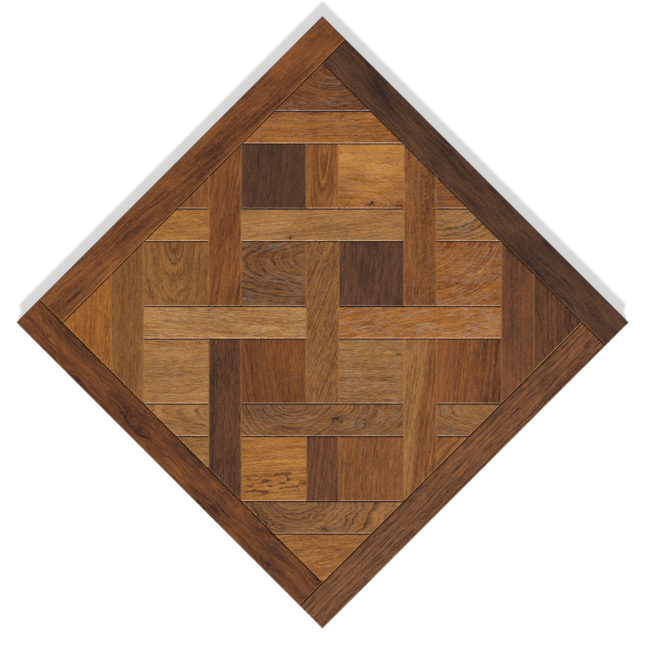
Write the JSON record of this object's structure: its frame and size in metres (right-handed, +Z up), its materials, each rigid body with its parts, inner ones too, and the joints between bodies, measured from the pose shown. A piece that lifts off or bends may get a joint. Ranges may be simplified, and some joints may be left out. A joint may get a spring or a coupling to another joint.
{
  "type": "versailles parquet panel",
  "caption": "Square solid-oak floor panel with a pinwheel frame round a woven diagonal lattice of strips, square blocks and corner triangles, grooved all round for loose tongues.",
  "frame": {"origin": "centre of the underside", "axes": "+Z up through the thickness to the walking face, +X and +Y along the panel's sides; the field's strips run at 45 degrees to them"},
  "size_m": [0.8, 0.8, 0.022],
  "materials": {
    "oak_smoked": "satin oiled oak, heavily fumed, near black-brown",
    "oak_walnut": "satin oiled oak, dark brown stain",
    "oak_russet": "satin oiled oak, red-brown stain",
    "oak_chestnut": "satin oiled oak, mid red-brown stain",
    "oak_hazel": "satin oiled oak, mid brown stain",
    "oak_amber": "satin oiled oak, orange-brown oil",
    "oak_tan": "satin oiled oak, light brown oil",
    "oak_honey": "satin oiled oak, golden oil",
    "oak_straw": "satin oiled oak, pale golden oil"
  },
  "bodies": {
    "root": {"frame_strip_east": "oak_smoked", "frame_strip_north": "oak_russet", "frame_strip_west": "oak_russet", "frame_strip_south": "oak_walnut", "warp_centre": "oak_hazel", "warp_short_ne": "oak_chestnut", "warp_short_sw": "oak_walnut", "warp_side_east": "oak_chestnut", "warp_side_south": "oak_honey", "warp_side_west": "oak_smoked", "warp_side_north": "oak_russet", "warp_corner_se": "oak_russet", "warp_corner_nw": "oak_hazel", "weft_inner_se": "oak_amber", "weft_inner_nw": "oak_straw", "weft_mid_ne": "oak_tan", "weft_mid_sw": "oak_hazel", "weft_end_east": "oak_tan", "weft_end_south": "oak_hazel", "weft_end_west": "oak_tan", "weft_end_north": "oak_honey", "weft_corner_ne": "oak_amber", "weft_corner_sw": "oak_hazel", "centre_block_east": "oak_smoked", "centre_block_south": "oak_tan", "centre_block_west": "oak_russet", "centre_block_north": "oak_walnut", "se_block_east": "oak_chestnut", "se_block_south": "oak_russet", "nw_block_west": "oak_straw", "nw_block_north": "oak_hazel", "ne_block_east": "oak_honey", "ne_block_north": "oak_smoked", "sw_block_south": "oak_chestnut", "sw_block_west": "oak_honey", "corner_triangle_ne": "oak_chestnut", "corner_triangle_se": "oak_walnut", "corner_triangle_sw": "oak_honey", "corner_triangle_nw": "oak_amber", "side_triangle_east": "oak_russet", "side_triangle_south": "oak_russet", "side_triangle_west": "oak_tan", "side_triangle_north": "oak_chestnut"}
  },
  "joints": []
}
